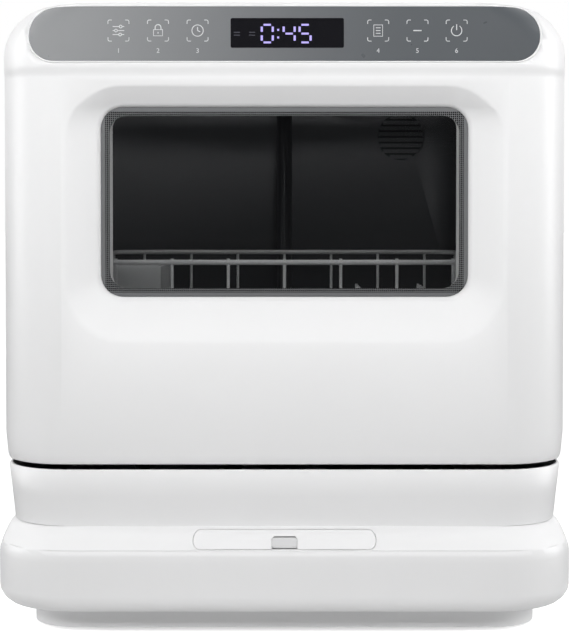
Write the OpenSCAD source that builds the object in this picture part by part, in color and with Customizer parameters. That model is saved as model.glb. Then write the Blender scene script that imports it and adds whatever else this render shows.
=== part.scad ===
// Countertop dishwasher with a drop-down door and a pour-in water drawer.
// Millimetres, +Z up, front towards -Y, origin on the floor below the middle of the machine.

/* [Cabinet] */
// Width of the door and the cabinet
body_w = 424; // [400:1:460]
// Overall height from the floor to the top
body_h = 464; // [450:1:490]
// Overall depth, from the front of the base to the ends of the hose spigots
overall_d = 430; // [420:1:470]
// Step from the front of the base back to the front of the door
front_step = 15; // [12:1:20]
// Radius of the two long top edges, seen from the front
top_r = 37; // [25:1:45]
// Radius of the upright front corners, seen from above
corner_r = 48; // [35:1:55]
// Wall of the moulded casing
wall = 2.5; // [2:0.5:3]
// Height where the body starts to tuck in
tuck_z = 146; // [140:1:160]
// Tuck at the foot of the body
tuck = 6; // [3:0.5:8]

/* [Base] */
// Width of the base
base_w = 430; // [426:1:466]
// Height of the underside of the base
base_z = 20; // [16:1:24]
// Height of the crease where the shoulder starts
crease_z = 65; // [62:1:68]
// Height where the body stands on the base
seat_z = 79; // [78:0.5:82]
// Inset of the skirt below the base
skirt_inset = 26; // [18:1:34]
// Height of the rubber feet under the skirt
foot_h = 3; // [2:0.5:5]

/* [Door] */
// Height of the door's lower edge
door_z = 126.6; // [125:0.1:129]
// Gap below the door
door_gap = 3.3; // [3:0.1:4.5]
// Depth of the door's side walls
door_d = 58; // [54:1:62]
// Distance of the hinge axis from the front face and the lower edge
hinge_in = 7; // [6:0.5:9]
// Depth of the inner liner behind the hinge axis
liner_t = 37; // [34:0.5:39]
// How far the control panel band stands proud
panel_step = 3; // [2:0.5:4]
// Radius of the door's top front edge
brow_r = 3; // [2:0.5:4]

/* [Window] */
// Half width of the dished surround
dish_x = 163; // [155:1:164]
// Height of the lower edge of the dished surround
dish_z0 = 214; // [205:1:220]
// Distance from the top down to the dished surround
dish_drop = 57; // [55:1:64]
// Corner radius of the dished surround
dish_r = 44; // [30:1:50]
// Depth of the dish
dish_d = 16; // [10:1:18]
// Half width of the window
win_x = 133; // [120:1:136]
// Height of the lower edge of the window
win_z0 = 248; // [244:1:256]
// Distance from the top down to the window
win_drop = 75; // [72:1:84]
// Corner radius of the window
win_r = 16; // [10:1:20]
// Width of the printed border
border_w = 6.5; // [5:0.5:9]
// Thickness of the glass
glass_t = 3; // [2.5:0.5:4]

/* [Control panel] */
// Half width of the control panel
panel_x = 187.5; // [175:0.5:188]
// Distance from the top down to the lower edge of the control panel
panel_drop = 43; // [41:1:44]
// Height of the control panel
panel_h = 40; // [36:1:41]
// Thickness of the control panel lens
lens_t = 1.6; // [1.2:0.1:1.8]

/* [Wash space] */
// Half width of the tub
tub_x = 176; // [165:1:178]
// Floor of the tub
tub_z0 = 150; // [148:1:154]
// Distance from the top down to the ceiling of the tub
tub_drop = 24; // [24:1:34]
// Sheet of the tub
tub_t = 1.2; // [0.8:0.2:1.6]
// Distance from the tub's back wall to the back of the machine
tub_back = 54; // [50:1:60]
// Radius of the spray arms
arm_r = 130; // [115:1:131]

/* [Dish rack] */
// Wire of the rack
wire_d = 4; // [3:0.5:4]
// Half width of the rack
rack_x = 156; // [140:1:157]
// Height of the rack's floor wires
rack_z0 = 186; // [185:1:192]
// Height of the rack's top rail
rack_z1 = 272; // [260:1:280]
// Gap from the door liner to the rack
rack_gap = 17; // [16:1:22]
// Number of upright plate tines in a row
tine_count = 9; // [5:1:11]

/* [Water drawer] */
// Half width of the drawer front
fill_x = 66.7; // [55:0.1:75]
// Height of the drawer front
fill_h = 11; // [10:0.5:11.5]
// Travel of the drawer
fill_travel = 48; // [30:1:50]
// Half width of the finger notch
notch_x = 9.3; // [7:0.1:12]

/* [Fits] */
// Gap between pieces that move past each other or are set into one another
gap = 0.3; // [0.25:0.05:0.4]
// Running clearance of pins on radius
pin_fit = 0.05; // [0.03:0.01:0.08]
// Hinge pin diameter
pin_d = 4; // [3.6:0.1:4.2]

/* [Hidden] */
$fn = 48;
eps = 0.01;
base_y0 = -overall_d / 2;
spigot_out = 12;
back_y = overall_d / 2 - spigot_out;
body_y0 = base_y0 + front_step;
face_y = body_y0 + panel_step;
hinge_z = door_z + hinge_in;
hinge_y = face_y + tuck * (tuck_z - hinge_z) / (tuck_z - seat_z) + hinge_in;
door_back_y = body_y0 + door_d;
seam = 2;
cab_y0 = door_back_y + seam;
liner_y = hinge_y + liner_t;
liner_sheet = 2;
foot_top = door_z - door_gap;
collar_y0 = liner_y + 4;
flange_y0 = cab_y0 + 1;
flange_t = 3;
collar_w = 10;
tub_y0 = flange_y0 + flange_t;
tub_y1 = back_y - tub_back;
tub_r = 22;
border_t = 0.6;
ledge = 5;
glass_y = face_y + dish_d;
pocket_y1 = glass_y + border_t + glass_t;
panel_z0 = body_h - panel_drop;
panel_z1 = panel_z0 + panel_h;
dish_z1 = body_h - dish_drop;
win_z1 = body_h - win_drop;
tub_z1 = body_h - tub_drop;
rack_y0 = liner_y + rack_gap;
rack_y1 = tub_y1 - 27;
rail_z = rack_z0 + 4;
arm_z = tub_z0 + 12;
upper_arm_z = tub_z1 - 28;
pipe_r = 7;
pipe_y = tub_y1 - 2 - pipe_r;
sump_r = 50;
sump_z = tub_z0 - 46;
floor_z = base_z + 3;
fill_z0 = crease_z + 1.3;

// Inset of a quarter round of radius r, d below its top
function round_in(r, d) = d >= r ? 0 : r - sqrt(max(0, r * r - (r - d) * (r - d)));
function smooth(t) = t <= 0 ? 0 : t >= 1 ? 1 : t * t * (3 - 2 * t);

// Tuck of the body's foot at height z
function tuck_in(z) = z < tuck_z ? tuck * (tuck_z - z) / (tuck_z - seat_z) : 0;
// Half width of the body at height z, on the surface lying o inside the outer one
function half_w(z, o = 0) = body_w / 2 - o - tuck_in(z) - round_in(top_r - o, body_h - o - z);
// Front of the body at height z, on the surface lying o inside the outer one
function front_y(z, o = 0) = body_y0 + o + tuck_in(z) + round_in(brow_r, body_h - o - z)
    + panel_step * (1 - smooth((z - panel_z0 + 11) / 9));

// Plan outline with rounded front corners and a square back
function plan_ring(z, x, y0, y1, r, n = 8) = concat(
    [[-x, y1, z]],
    [for (i = [0:n]) [-x + r - r * cos(90 * i / n), y0 + r - r * sin(90 * i / n), z]],
    [for (i = [0:n]) [x - r + r * sin(90 * i / n), y0 + r - r * cos(90 * i / n), z]],
    [[x, y1, z]]);
// Plan outline with four rounded corners
function plan_ring4(z, x, y0, y1, rf, rb, n = 8) = concat(
    [for (i = [0:n]) [-x + rf - rf * cos(90 * i / n), y0 + rf - rf * sin(90 * i / n), z]],
    [for (i = [0:n]) [x - rf + rf * sin(90 * i / n), y0 + rf - rf * cos(90 * i / n), z]],
    [for (i = [0:n]) [x - rb + rb * cos(90 * i / n), y1 - rb + rb * sin(90 * i / n), z]],
    [for (i = [0:n]) [-x + rb - rb * sin(90 * i / n), y1 - rb + rb * cos(90 * i / n), z]]);
// Front-view outline of a rounded rectangle
function rr_pts(x0, x1, z0, z1, r, n = 8) = concat(
    [for (i = [0:n]) [x0 + r - r * cos(90 * i / n), z0 + r - r * sin(90 * i / n)]],
    [for (i = [0:n]) [x1 - r + r * sin(90 * i / n), z0 + r - r * cos(90 * i / n)]],
    [for (i = [0:n]) [x1 - r + r * cos(90 * i / n), z1 - r + r * sin(90 * i / n)]],
    [for (i = [0:n]) [x0 + r - r * sin(90 * i / n), z1 - r + r * cos(90 * i / n)]]);
function at_y(pts, y) = [for (p = pts) [p[0], y, p[1]]];
// Front-view outline of the cabinet, lying o inside the outer one, from height z0 up
function arch_pts(o, z0, n = 9) = let (
    side = concat([[half_w(z0, o), z0], [half_w(tuck_z, o), tuck_z]],
        [for (i = [0:n]) [body_w / 2 - top_r + (top_r - o) * cos(90 * i / n),
            body_h - top_r + (top_r - o) * sin(90 * i / n)]]))
    concat(side, [for (i = [len(side) - 1:-1:0]) [-side[i][0], side[i][1]]]);

// Skin through a stack of outlines with equal counts of points
module loft(rings) {
    n = len(rings[0]);
    m = len(rings);
    pts = [for (r = rings) each r];
    sides = [for (k = [0:m - 2]) for (i = [0:n - 1]) let (a = k * n + i, b = k * n + (i + 1) % n)
        each [[a, a + n, b], [b, a + n, b + n]]];
    caps = [[for (i = [0:n - 1]) i], [for (i = [n - 1:-1:0]) (m - 1) * n + i]];
    polyhedron(points = pts, faces = concat(sides, caps), convexity = 6);
}
// Prism of a front-view outline between two depths
module along_y(y0, y1) {
    translate([0, y1, 0]) rotate([90, 0, 0]) linear_extrude(y1 - y0) children();
}
module rod(p, q, r) {
    d = q - p;
    len_xy = norm([d[0], d[1]]);
    translate(p) rotate([0, atan2(len_xy, d[2]), atan2(d[1], d[0])]) cylinder(r = r, h = norm(d), $fn = 24);
}
// Pipe along a list of points, with round elbows
module pipe(points, r) {
    for (i = [1:len(points) - 1]) rod(points[i - 1], points[i], r);
    for (i = [1:max(1, len(points) - 2)]) if (len(points) > 2) translate(points[i]) sphere(r = r + 0.2, $fn = 32);
}
module both_sides() {
    children();
    mirror([1, 0, 0]) children();
}

// Heights at which the door's skin is drawn
door_roll = [for (a = [90, 66, 44, 22, 0]) hinge_z - hinge_in * sin(a)];
band_z = [for (t = [0:0.2:1]) panel_z0 - 11 + 9 * t];
top_roll = [for (a = [0:15:60]) body_h - top_r + top_r * sin(a)];
brow_roll = [for (a = [0, 30, 60, 90]) body_h - brow_r + brow_r * sin(a)];
function roll_in(z) = z >= hinge_z ? 0 : hinge_in - sqrt(max(0, pow(hinge_in, 2) - pow(hinge_z - z, 2)));
function door_ring(z, o, y1) = plan_ring(z, half_w(z, o) - roll_in(z), front_y(z, o) + roll_in(z),
    y1, corner_r - o - roll_in(z));
module door_outer() {
    loft([for (z = concat(door_roll, [tuck_z], band_z, top_roll, brow_roll)) door_ring(z, 0, door_back_y)]);
}
module door_hollow() {
    heights = concat([door_z + wall + 0.4, hinge_z, tuck_z], band_z, top_roll, [body_h - brow_r, body_h - wall - eps]);
    loft([for (z = heights) plan_ring(z, half_w(z, wall), front_y(z, wall), door_back_y + 5, corner_r - wall)]);
}
// Dish around the window, grown by g and deeper by extra
module dish(g = 0, extra = 0, steps = 7) {
    outer = rr_pts(-dish_x - g, dish_x + g, dish_z0 - g, dish_z1 + g, dish_r + g);
    inner = rr_pts(-win_x - g, win_x + g, win_z0 - g, win_z1 + g, win_r + g);
    rings = [for (k = [steps:-1:0]) let (u = k / steps, y = face_y + (dish_d + extra) * (1 - cos(180 * u)) / 2)
        at_y([for (i = [0:len(outer) - 1]) outer[i] + (inner[i] - outer[i]) * u], y)];
    loft(concat(rings, [at_y(outer, face_y - 8)]));
}
module window_pane(y0, y1, inset = 0) {
    along_y(y0, y1) polygon(rr_pts(-win_x + inset, win_x - inset, win_z0 + inset, win_z1 - inset,
        max(2, win_r - inset)));
}
module panel_outline(g = 0) {
    r = panel_h / 2 + g;
    polygon(rr_pts(-panel_x - g, panel_x + g, panel_z0 - g, panel_z1 + g, r - 0.5, 10));
}
// Layer of the door's panel band between two offsets
module panel_layer(o0, o1) {
    heights = concat([panel_z0 - 2.2], top_roll, [body_h - brow_r]);
    levels = [for (z = heights) if (z > panel_z0 - 2.3) z];
    difference() {
        loft([for (z = levels) plan_ring(z, half_w(z, o0), front_y(z, o0), door_back_y, corner_r - o0)]);
        loft([for (i = [0:len(levels) - 1]) let (z = levels[i], past = i == 0 ? -1 : i == len(levels) - 1 ? 1 : 0)
            plan_ring(z + past, half_w(z, o1), front_y(z, o1), door_back_y + 1, corner_r - o1)]);
    }
}

// ---- Base ----
function base_inset(z) = z < base_z + 12 ? 6 * pow((base_z + 12 - z) / 12, 2.2)
    : z > crease_z - 8 ? 1.4 * pow((z - crease_z + 8) / 8, 2) : 0;
shoulder_x = base_w / 2 - half_w(seat_z) - 1.4;
shoulder_y = front_step + tuck + panel_step - 1.4;
function base_ring(z, o = 0) = let (
    u = max(0, (z - crease_z) / (seat_z - crease_z)),
    s = u <= 0 ? 0 : 1 - pow(1 - u, 0.6),
    i = base_inset(min(z, crease_z)) + o)
    plan_ring4(z, base_w / 2 - i - shoulder_x * s, base_y0 + i + shoulder_y * s,
        back_y + 2 - i - 2 * s, corner_r + 6 - o, 24 - o);
base_heights = concat([for (t = [0, 1.5, 4, 8, 12]) base_z + t],
    [crease_z - 8, crease_z - 4, crease_z], [for (u = [0.06, 0.25, 0.5, 0.75, 1]) crease_z + (seat_z - crease_z) * u]);
module base_outer() {
    loft([for (z = base_heights) base_ring(z)]);
}
module base_hollow(o = wall) {
    heights = [for (z = base_heights) if (z > floor_z) z];
    loft(concat([base_ring(floor_z, o)], [for (z = heights) base_ring(z, o)],
        [[for (p = base_ring(seat_z, o)) p + [0, 0, 2]]]));
}
module fill_outline(g = 0) {
    polygon(rr_pts(-fill_x - g, fill_x + g, fill_z0 - g, fill_z0 + fill_h + g, fill_h / 2 + g - 0.4));
}
module base_tray() {
    color("white") {
        difference() {
            base_outer();
            base_hollow();
            along_y(base_y0 - 1, base_y0 + 30) fill_outline(gap);
        }
        // ribs that carry the body
        both_sides() for (y = [-110, 0, 110])
            translate([base_w / 2 - 34, y, floor_z - eps]) cube([20, 3, seat_z - floor_z + eps]);
    }
}
module base_skirt() {
    x = base_w / 2 - skirt_inset;
    color("silver") translate([0, 0, foot_h]) linear_extrude(base_z - foot_h) difference() {
        polygon([for (p = plan_ring4(0, x, base_y0 + skirt_inset, back_y - skirt_inset, 34, 24)) [p[0], p[1]]]);
        polygon([for (p = plan_ring4(0, x - 3, base_y0 + skirt_inset + 3, back_y - skirt_inset - 3, 31, 21))
            [p[0], p[1]]]);
    }
}
module rubber_feet() {
    color("dimgray") both_sides() for (y = [base_y0 + skirt_inset + 40, back_y - skirt_inset - 40])
        translate([base_w / 2 - skirt_inset - 20, y, 0]) {
            cylinder(r1 = 10, r2 = 12, h = foot_h);
            translate([0, 0, foot_h - eps]) cylinder(r = 12, h = base_z - foot_h + eps);
        }
}

// ---- Body ----
module lower_body() {
    heights = [seat_z, (seat_z + foot_top) / 2, foot_top - 1, foot_top];
    color("white") {
        difference() {
            loft([for (z = heights) let (e = z > foot_top - 0.5 ? 1 : 0)
                plan_ring(z, half_w(z) - e, front_y(z) + e, back_y - 1, corner_r)]);
            loft([for (i = [0:3]) let (z = heights[i], zz = z + [-1, 0, 0, 1][i])
                plan_ring(zz, half_w(z, wall), front_y(z, wall), back_y + 5, corner_r - wall)]);
        }
        // inner flange that the cabinet stands on
        both_sides() translate([half_w(foot_top, wall) - 12, cab_y0, foot_top - 3])
            cube([12.5, back_y - 3 - cab_y0, 3]);
    }
}
module cabinet_wrap() {
    color("white") along_y(cab_y0, back_y) difference() {
        polygon(arch_pts(0, foot_top));
        polygon(concat([[half_w(foot_top, wall), foot_top - 1]], arch_pts(wall, foot_top),
            [[-half_w(foot_top, wall), foot_top - 1]]));
    }
}
vent_w = 110;
vent_h = 64;
vent_z = body_h - 114;
vent_n = 9;
inlet_x = -150;
drain_x = -90;
port_z = seat_z + 62;
inlet_r = 13.2;
drain_r = 9;
gland_x = 150;
module rear_panel() {
    color("gainsboro") along_y(back_y - 2.5, back_y - 0.5) difference() {
        polygon(arch_pts(wall + gap, foot_top + 0.3));
        translate([inlet_x, port_z]) circle(r = inlet_r + 3.3);
        translate([drain_x, port_z]) circle(r = drain_r + 3.3);
        translate([gland_x, port_z]) circle(r = 8.3);
        translate([-vent_w / 2, vent_z]) square([vent_w, vent_h]);
    }
    // skirt of the panel down to the base
    color("gainsboro") along_y(back_y - 2.5, back_y - 0.5)
        polygon([[-half_w(seat_z, wall + gap), seat_z + 0.3], [half_w(seat_z, wall + gap), seat_z + 0.3],
            [half_w(foot_top, wall + gap), foot_top + 0.31], [-half_w(foot_top, wall + gap), foot_top + 0.31]]);
}
module rear_vent() {
    pitch = vent_h / vent_n;
    color("silver") {
        along_y(back_y - 3.5, back_y) difference() {
            translate([-vent_w / 2 + gap, vent_z + gap]) square([vent_w - 2 * gap, vent_h - 2 * gap]);
            translate([-vent_w / 2 + 4, vent_z + 4]) square([vent_w - 8, vent_h - 8]);
        }
        for (i = [1:vent_n - 1]) translate([-vent_w / 2 + 3.9, back_y - 3, vent_z + i * pitch - 1.2])
            rotate([35, 0, 0]) cube([vent_w - 7.8, 1.2, 3.2]);
    }
}
screw_x = body_w / 2 - 17;
screw_spots = [for (x = [-1, 0, 1]) [x * (screw_x - 10), body_h - 28],
    for (x = [-screw_x, screw_x], z = [tub_z0, tub_z0 + 140]) [x, z]];
module panel_screws() {
    color("silver") for (p = screw_spots)
        translate([p[0], back_y + 1.2, p[1]]) rotate([90, 0, 0]) cylinder(r = 3.5, h = 1.7, $fn = 32);
}

// ---- Wash space ----
function tub_pts(g) = rr_pts(-tub_x - g, tub_x + g, tub_z0 - g, tub_z1 + g, tub_r + g);
module tub() {
    color("lightgray") difference() {
        along_y(tub_y0, tub_y1 + tub_t) polygon(tub_pts(tub_t));
        along_y(tub_y0 - 1, tub_y1) polygon(tub_pts(0));
        translate([0, 0, tub_z0 - 3]) cylinder(r = sump_r, h = 6);
        translate([0, pipe_y, tub_z0 - 3]) cylinder(r = pipe_r + gap, h = 6);
        translate([duct_x, tub_y1 - 1, duct_z]) rotate([-90, 0, 0]) cylinder(r = duct_r, h = 4);
    }
}
module tub_collar() {
    color("whitesmoke") difference() {
        union() {
            along_y(flange_y0, flange_y0 + flange_t) polygon(arch_pts(wall + gap, foot_top + 0.3));
            along_y(collar_y0, flange_y0 + eps) polygon(tub_pts(collar_w));
        }
        along_y(collar_y0 - 1, tub_y0 + 1) polygon(tub_pts(0));
        // slot for the door's hook
        translate([-slot_x, collar_y0 - 1, slot_z0]) cube([2 * slot_x, tub_y0 - collar_y0 + 2, slot_z1 - slot_z0]);
    }
}
module door_gasket() {
    color("dimgray") along_y(collar_y0 - 3.4, collar_y0) difference() {
        polygon(tub_pts(gasket_out));
        polygon(tub_pts(1.5));
    }
}
module rack_rails() {
    color("silver") both_sides() {
        translate([tub_x - 1.4, tub_y0 + 2, rack_z0 - 8]) cube([1.4, tub_y1 - tub_y0 - 6, 26]);
        translate([tub_x - 13, tub_y0 + 2, rack_z0 - 3]) cube([12, tub_y1 - tub_y0 - 6, 2]);
        translate([tub_x - 13, tub_y0 + 2, rack_z0 - 3]) cube([1.5, tub_y1 - tub_y0 - 6, 5]);
    }
}
gasket_out = 6.5;
slot_z0 = tub_z1 + gasket_out + 0.7;
hook_z = slot_z0 + 0.8;
hook_l = 20;
slot_x = 14;
slot_z1 = slot_z0 + 9.9;
module door_strike() {
    color("dimgray") difference() {
        translate([-slot_x - 5, tub_y0, tub_z1 + tub_t]) cube([2 * slot_x + 10, 14, slot_z1 + 3 - tub_z1 - tub_t]);
        translate([-slot_x, tub_y0 - 1, slot_z0]) cube([2 * slot_x, 13, slot_z1 - slot_z0]);
    }
}
hinge_x = body_w / 2 - 59;
arm_w = 6;
boss_r = hinge_in - wall - 0.4 - gap;
module hinge_brackets() {
    color("silver") both_sides() difference() {
        union() {
            translate([hinge_x - arm_w / 2, hinge_y, hinge_z]) cube([arm_w, flange_y0 - hinge_y, 5.8]);
            translate([hinge_x - arm_w / 2, hinge_y, hinge_z]) rotate([0, 90, 0]) cylinder(r = boss_r, h = arm_w);
            translate([hinge_x - 10, flange_y0 - 2, foot_top + 1]) cube([20, 2, hinge_z + 5.8 - foot_top - 1]);
        }
        translate([hinge_x - arm_w, hinge_y, hinge_z]) rotate([0, 90, 0])
            cylinder(r = pin_d / 2 + pin_fit, h = 2 * arm_w);
    }
}

// ---- Water ----
tank_x = base_w / 2 - 45;
tank_y0 = 40;
tank_d = back_y - 28 - tank_y0;
module water_tank() {
    color("lightsteelblue", 0.8) difference() {
        union() {
            translate([-tank_x, tank_y0, floor_z]) cube([2 * tank_x, tank_d, 48]);
            translate([-60, 20, floor_z]) cube([120, 21, 36]);
            translate([130, 60, floor_z + 47]) cylinder(r = 16, h = 10);
        }
        translate([130, 60, floor_z + 30]) cylinder(r = 12, h = 40);
        translate([-54, 14, floor_z + 4]) cube([108, 30, 28]);
        translate([4 - tank_x, tank_y0 + 4, floor_z + 4]) cube([2 * tank_x - 8, tank_d - 8, 40]);
    }
}
channel_y0 = base_y0 + shoulder_y + 6;
channel_y1 = 19.7;
trough_lift = 0.6;
channel_floor = fill_z0 + trough_lift - gap;
module filler_channel() {
    x = fill_x - 4;
    color("gainsboro") {
        difference() {
            translate([-x - 2, channel_y0, channel_floor - 2]) cube([2 * x + 4, channel_y1 - channel_y0, 6]);
            translate([-x, channel_y0 - 1, channel_floor]) cube([2 * x, channel_y1 - channel_y0 + 2, 8]);
            translate([-50, channel_y1 - 24, channel_floor - 4]) cube([100, 20, 8]);
        }
        // legs down to the floor of the base
        both_sides() for (y = [channel_y0 + 8, channel_y1 - 34])
            translate([x - 8, y, floor_z]) cube([6, 6, channel_floor - 2 - floor_z + eps]);
        translate([-56, channel_y1 - 28, floor_z + 20]) difference() {
            cube([112, 28, channel_floor - 2 - floor_z - 20 + eps]);
            translate([3, 3, -1]) cube([106, 30, 60]);
        }
    }
}
module sump() {
    color("dimgray") difference() {
        union() {
            translate([0, 0, sump_z]) cylinder(r = sump_r, h = tub_z0 - tub_t - sump_z);
            translate([0, 0, tub_z0 - tub_t - 4]) cylinder(r = sump_r + 10, h = 4);
            translate([0, 0, sump_z - 12]) cylinder(r1 = 22, r2 = sump_r, h = 12 + eps);
        }
        translate([0, 0, sump_z + 3]) cylinder(r = sump_r - 3, h = 60);
        translate([0, 0, sump_z - 9]) cylinder(r1 = 18, r2 = sump_r - 4, h = 12 + 2 * eps);
    }
}
hub_r = 9;
module filter_cup() {
    color("silver") {
        difference() {
            translate([0, 0, tub_z0 - tub_t]) cylinder(r = sump_r - 0.5, h = 2.2);
            translate([0, 0, tub_z0 - tub_t - 1]) cylinder(r = hub_r + gap, h = 5);
            for (k = [0:2], i = [0:17]) rotate([0, 0, i * 20 + k * 7])
                translate([22 + k * 9, 0, tub_z0 - tub_t - 1]) cylinder(r = 2, h = 5, $fn = 13);
        }
        difference() {
            translate([0, 0, sump_z + 6]) cylinder(r = 19, h = tub_z0 - tub_t - sump_z - 6 + eps);
            translate([0, 0, sump_z + 5]) cylinder(r = 17.5, h = tub_z0 - sump_z);
        }
        translate([0, 0, sump_z + 6]) difference() {
            cylinder(r = 19, h = 1.5);
            translate([0, 0, -1]) cylinder(r = hub_r + gap, h = 5);
        }
    }
}
pump_x = 105;
pump_y = -60;
module wash_pump() {
    color("dimgray") translate([pump_x, pump_y, floor_z]) {
        cylinder(r = 30, h = 12);
        translate([0, 0, 12 - eps]) cylinder(r = 26, h = 48);
        translate([0, 0, 60 - eps]) cylinder(r = 34, h = 18);
        translate([0, 0, 78 - eps]) cylinder(r = 12, h = 6);
    }
    color("dimgray") rod([pump_x - 22, pump_y + 14, floor_z + 71], [26, 17, sump_z - 7.5], 7);
}
module drain_pump() {
    color("gray") {
        translate([-110, -50, floor_z]) cylinder(r = 22, h = 34);
        translate([-110, -50, floor_z + 34 - eps]) cylinder(r = 26, h = 12);
        rod([-92, -38, floor_z + 42], [-38, -12, sump_z - 6], 6);
        pipe([[-112, -30, floor_z + 40], [-130, 34, port_z - 30], [-130, 150, port_z - 30],
            [drain_x, back_y - 40.2, port_z - 0.5]], 6);
    }
}
module heater() {
    color("slategray") translate([0, 0, tub_z0 - tub_t - 4 - 9.3]) {
        rotate_extrude($fn = 64) translate([sump_r + 6, 5, 0]) circle(r = 4.2, $fn = 16);
        both_sides() translate([sump_r + 6, 0, 5]) cylinder(r = 4, h = 4.3, $fn = 16);
    }
}
module riser_pipe() {
    z0 = tub_z0 - 24;
    z1 = tub_z1 - pipe_r - 1;
    color("lightgray") {
        pipe([[0, sump_r - 2.5, z0], [0, pipe_y, z0], [0, pipe_y, z1], [0, 0, z1], [0, 0, z1 - 5]], pipe_r);
        // spigot that carries the upper arm
        translate([0, 0, upper_arm_z - 8 - eps]) cylinder(r = hub_r - 3, h = z1 - upper_arm_z + 8);
        translate([0, 0, upper_arm_z - 11]) cylinder(r = hub_r + 1, h = 3 + eps);
        // column that carries the lower arm
        translate([0, 0, sump_z - 9]) cylinder(r = hub_r, h = arm_z - gap - sump_z + 9);
        translate([0, 0, arm_z - gap - eps]) cylinder(r = hub_r - 3, h = arm_hub_h + 2 * gap + 1);
        translate([0, 0, arm_z + arm_hub_h + gap]) cylinder(r = hub_r + 1, h = 3);
    }
}
arm_hub_h = 10;
module spray_arm(nozzles) {
    difference() {
        union() {
            cylinder(r = 15, h = arm_hub_h);
            for (a = [0, 180]) rotate([0, 0, a]) hull() {
                translate([0, -11, 0]) cube([16, 22, 9]);
                translate([arm_r - 9, 3, 0]) cylinder(r = 8, h = 5, $fn = 32);
            }
        }
        translate([0, 0, -1]) cylinder(r = hub_r - 3 + 0.08, h = arm_hub_h + 2);
        for (a = [0, 180], i = [1:nozzles]) rotate([0, 0, a])
            translate([arm_r * i / (nozzles + 0.6), 3 * i / nozzles, 4]) cylinder(r = 1.6, h = 8, $fn = 16);
    }
}
module lower_arm() {
    color("gray") translate([0, 0, arm_z]) spray_arm(6);
}
module upper_arm() {
    color("gray") translate([0, 0, upper_arm_z + arm_hub_h - 8 + gap]) mirror([0, 0, 1]) spray_arm(5);
}
module inlet_valve() {
    color("white") {
        translate([inlet_x, back_y - 45, port_z]) rotate([-90, 0, 0]) cylinder(r = 16, h = 30);
        translate([inlet_x, back_y - 16, port_z]) rotate([-90, 0, 0]) cylinder(r = inlet_r + 3, h = 13);
        difference() {
            translate([inlet_x, back_y - 16, port_z]) rotate([-90, 0, 0]) cylinder(r = inlet_r, h = 16 + spigot_out);
            translate([inlet_x, back_y - 2, port_z]) rotate([-90, 0, 0]) cylinder(r = 8, h = 30);
        }
        translate([inlet_x, back_y - 2.5, port_z]) rotate([-90, 0, 0]) difference() {
            cylinder(r = inlet_r + 3, h = 4);
            translate([0, 0, -1]) cylinder(r = inlet_r - 1, h = 6);
        }
    }
}
module drain_elbow() {
    color("gray") difference() {
        union() {
            translate([drain_x, back_y - 40, port_z]) rotate([-90, 0, 0]) cylinder(r = drain_r, h = 40 + spigot_out);
            translate([drain_x, back_y - 2.5, port_z]) rotate([-90, 0, 0]) cylinder(r = drain_r + 3, h = 4);
        }
        translate([drain_x, back_y - 60, port_z]) rotate([-90, 0, 0]) cylinder(r = drain_r - 2.5, h = 90);
    }
}
module power_gland() {
    color("dimgray") translate([gland_x, back_y - 8, port_z]) rotate([-90, 0, 0]) difference() {
        union() {
            cylinder(r = 8, h = 8);
            translate([0, 0, 7.5]) cylinder(r1 = 11, r2 = 9, h = 5);
        }
        translate([0, 0, -1]) cylinder(r = 4, h = 20);
    }
}
board_back = back_y - 10.5;
module power_board() {
    color("darkgreen") {
        translate([90, board_back, 200]) cube([70, 1.6, 60]);
        for (x = [96, 154], z = [206, 254]) translate([x, board_back, z]) rotate([-90, 0, 0])
            cylinder(r = 3, h = back_y - 2.5 - board_back);
        translate([100, board_back - 14, 210]) cube([18, 14 + eps, 20]);
        translate([128, board_back - 16, 212]) cube([14, 16 + eps, 14]);
    }
}
duct_x = 110;
duct_z = tub_z1 - 60;
duct_r = 22;
module blower() {
    color("dimgray") {
        translate([duct_x, tub_y1 + tub_t + 12, duct_z]) rotate([-90, 0, 0]) cylinder(r = 34, h = 24);
        translate([duct_x - 10, tub_y1 + tub_t + 12, duct_z - 38]) cube([46, 24, 40]);
    }
}
module air_duct() {
    color("gray") difference() {
        translate([duct_x, tub_y1 + tub_t, duct_z]) rotate([-90, 0, 0]) cylinder(r = duct_r + 3, h = 12);
        translate([duct_x, tub_y1 - 1, duct_z]) rotate([-90, 0, 0]) cylinder(r = duct_r, h = 20);
    }
}

// ---- Door ----
module door_shell() {
    color("white") difference() {
        door_outer();
        difference() {
            door_hollow();
            dish(wall, wall + border_t + glass_t);
        }
        dish();
        window_pane(glass_y - 1, pocket_y1);
        window_pane(glass_y - 1, pocket_y1 + wall + 5, ledge);
        intersection() {
            along_y(body_y0 - 2, body_y0 + 20) panel_outline(gap);
            panel_layer(-1, lens_t + 0.1);
        }
        translate([-disp_x + 0.5, body_y0, disp_z + 0.5]) cube([2 * disp_x - 1, wall + 1, disp_h - 1]);
        // the lower wall ends at the liner
        translate([-body_w / 2 + 5, liner_y - liner_sheet, door_z - 1])
            cube([body_w - 10, door_d, hinge_z + 6.4 - door_z + 1]);
        both_sides() translate([hinge_x - arm_w / 2 - 0.8, hinge_y, door_z - 1]) cube([arm_w + 1.6, 60, 8]);
    }
}
liner_z0 = hinge_z + 6.4;
cup_x = -70;
cup_z = 196;
cup_w = 64;
cup_h = 40;
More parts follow.
